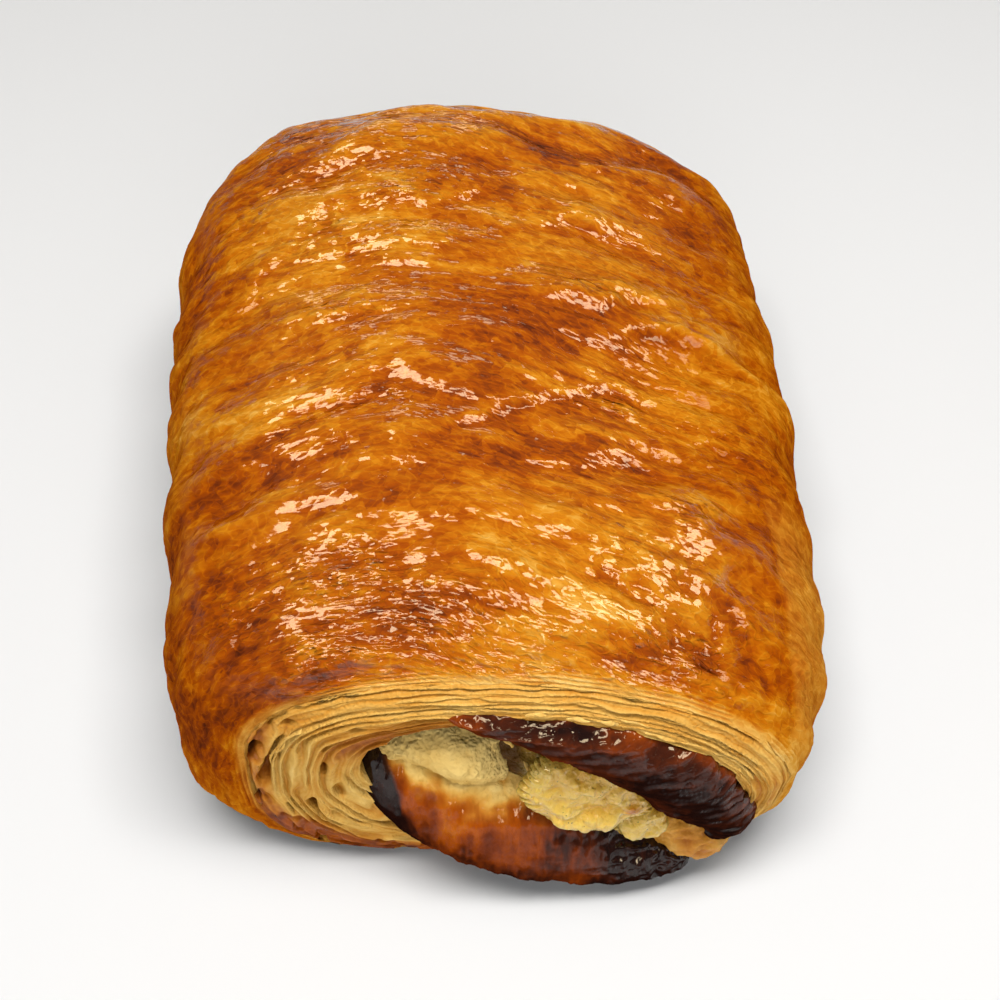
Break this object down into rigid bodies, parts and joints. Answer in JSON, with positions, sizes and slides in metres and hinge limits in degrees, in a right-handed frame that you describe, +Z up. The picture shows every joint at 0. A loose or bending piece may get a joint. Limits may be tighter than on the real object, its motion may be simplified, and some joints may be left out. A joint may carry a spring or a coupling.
{
  "type": "durian pastry",
  "caption": "Glazed laminated dough rolled round a band of durian paste and baked, its layers and filling showing at both cut ends.",
  "frame": {"origin": "middle of the footprint, on the surface that the pastry rests on", "axes": "+Y along the roll's axis away from the end whose fold bulges most, +Z up, +X to the right seen from that end"},
  "size_m": [0.0898, 0.1116, 0.052],
  "materials": {
    "crust": "baked laminated dough under an egg glaze: golden with brown patches, finely wrinkled and glossy, paler and matt at the cut ends",
    "paste": "pale yellow durian paste, moist and pimply, lightly toasted where it shows"
  },
  "bodies": {
    "root": {"dough": "crust", "durian_paste": "paste"}
  },
  "joints": []
}
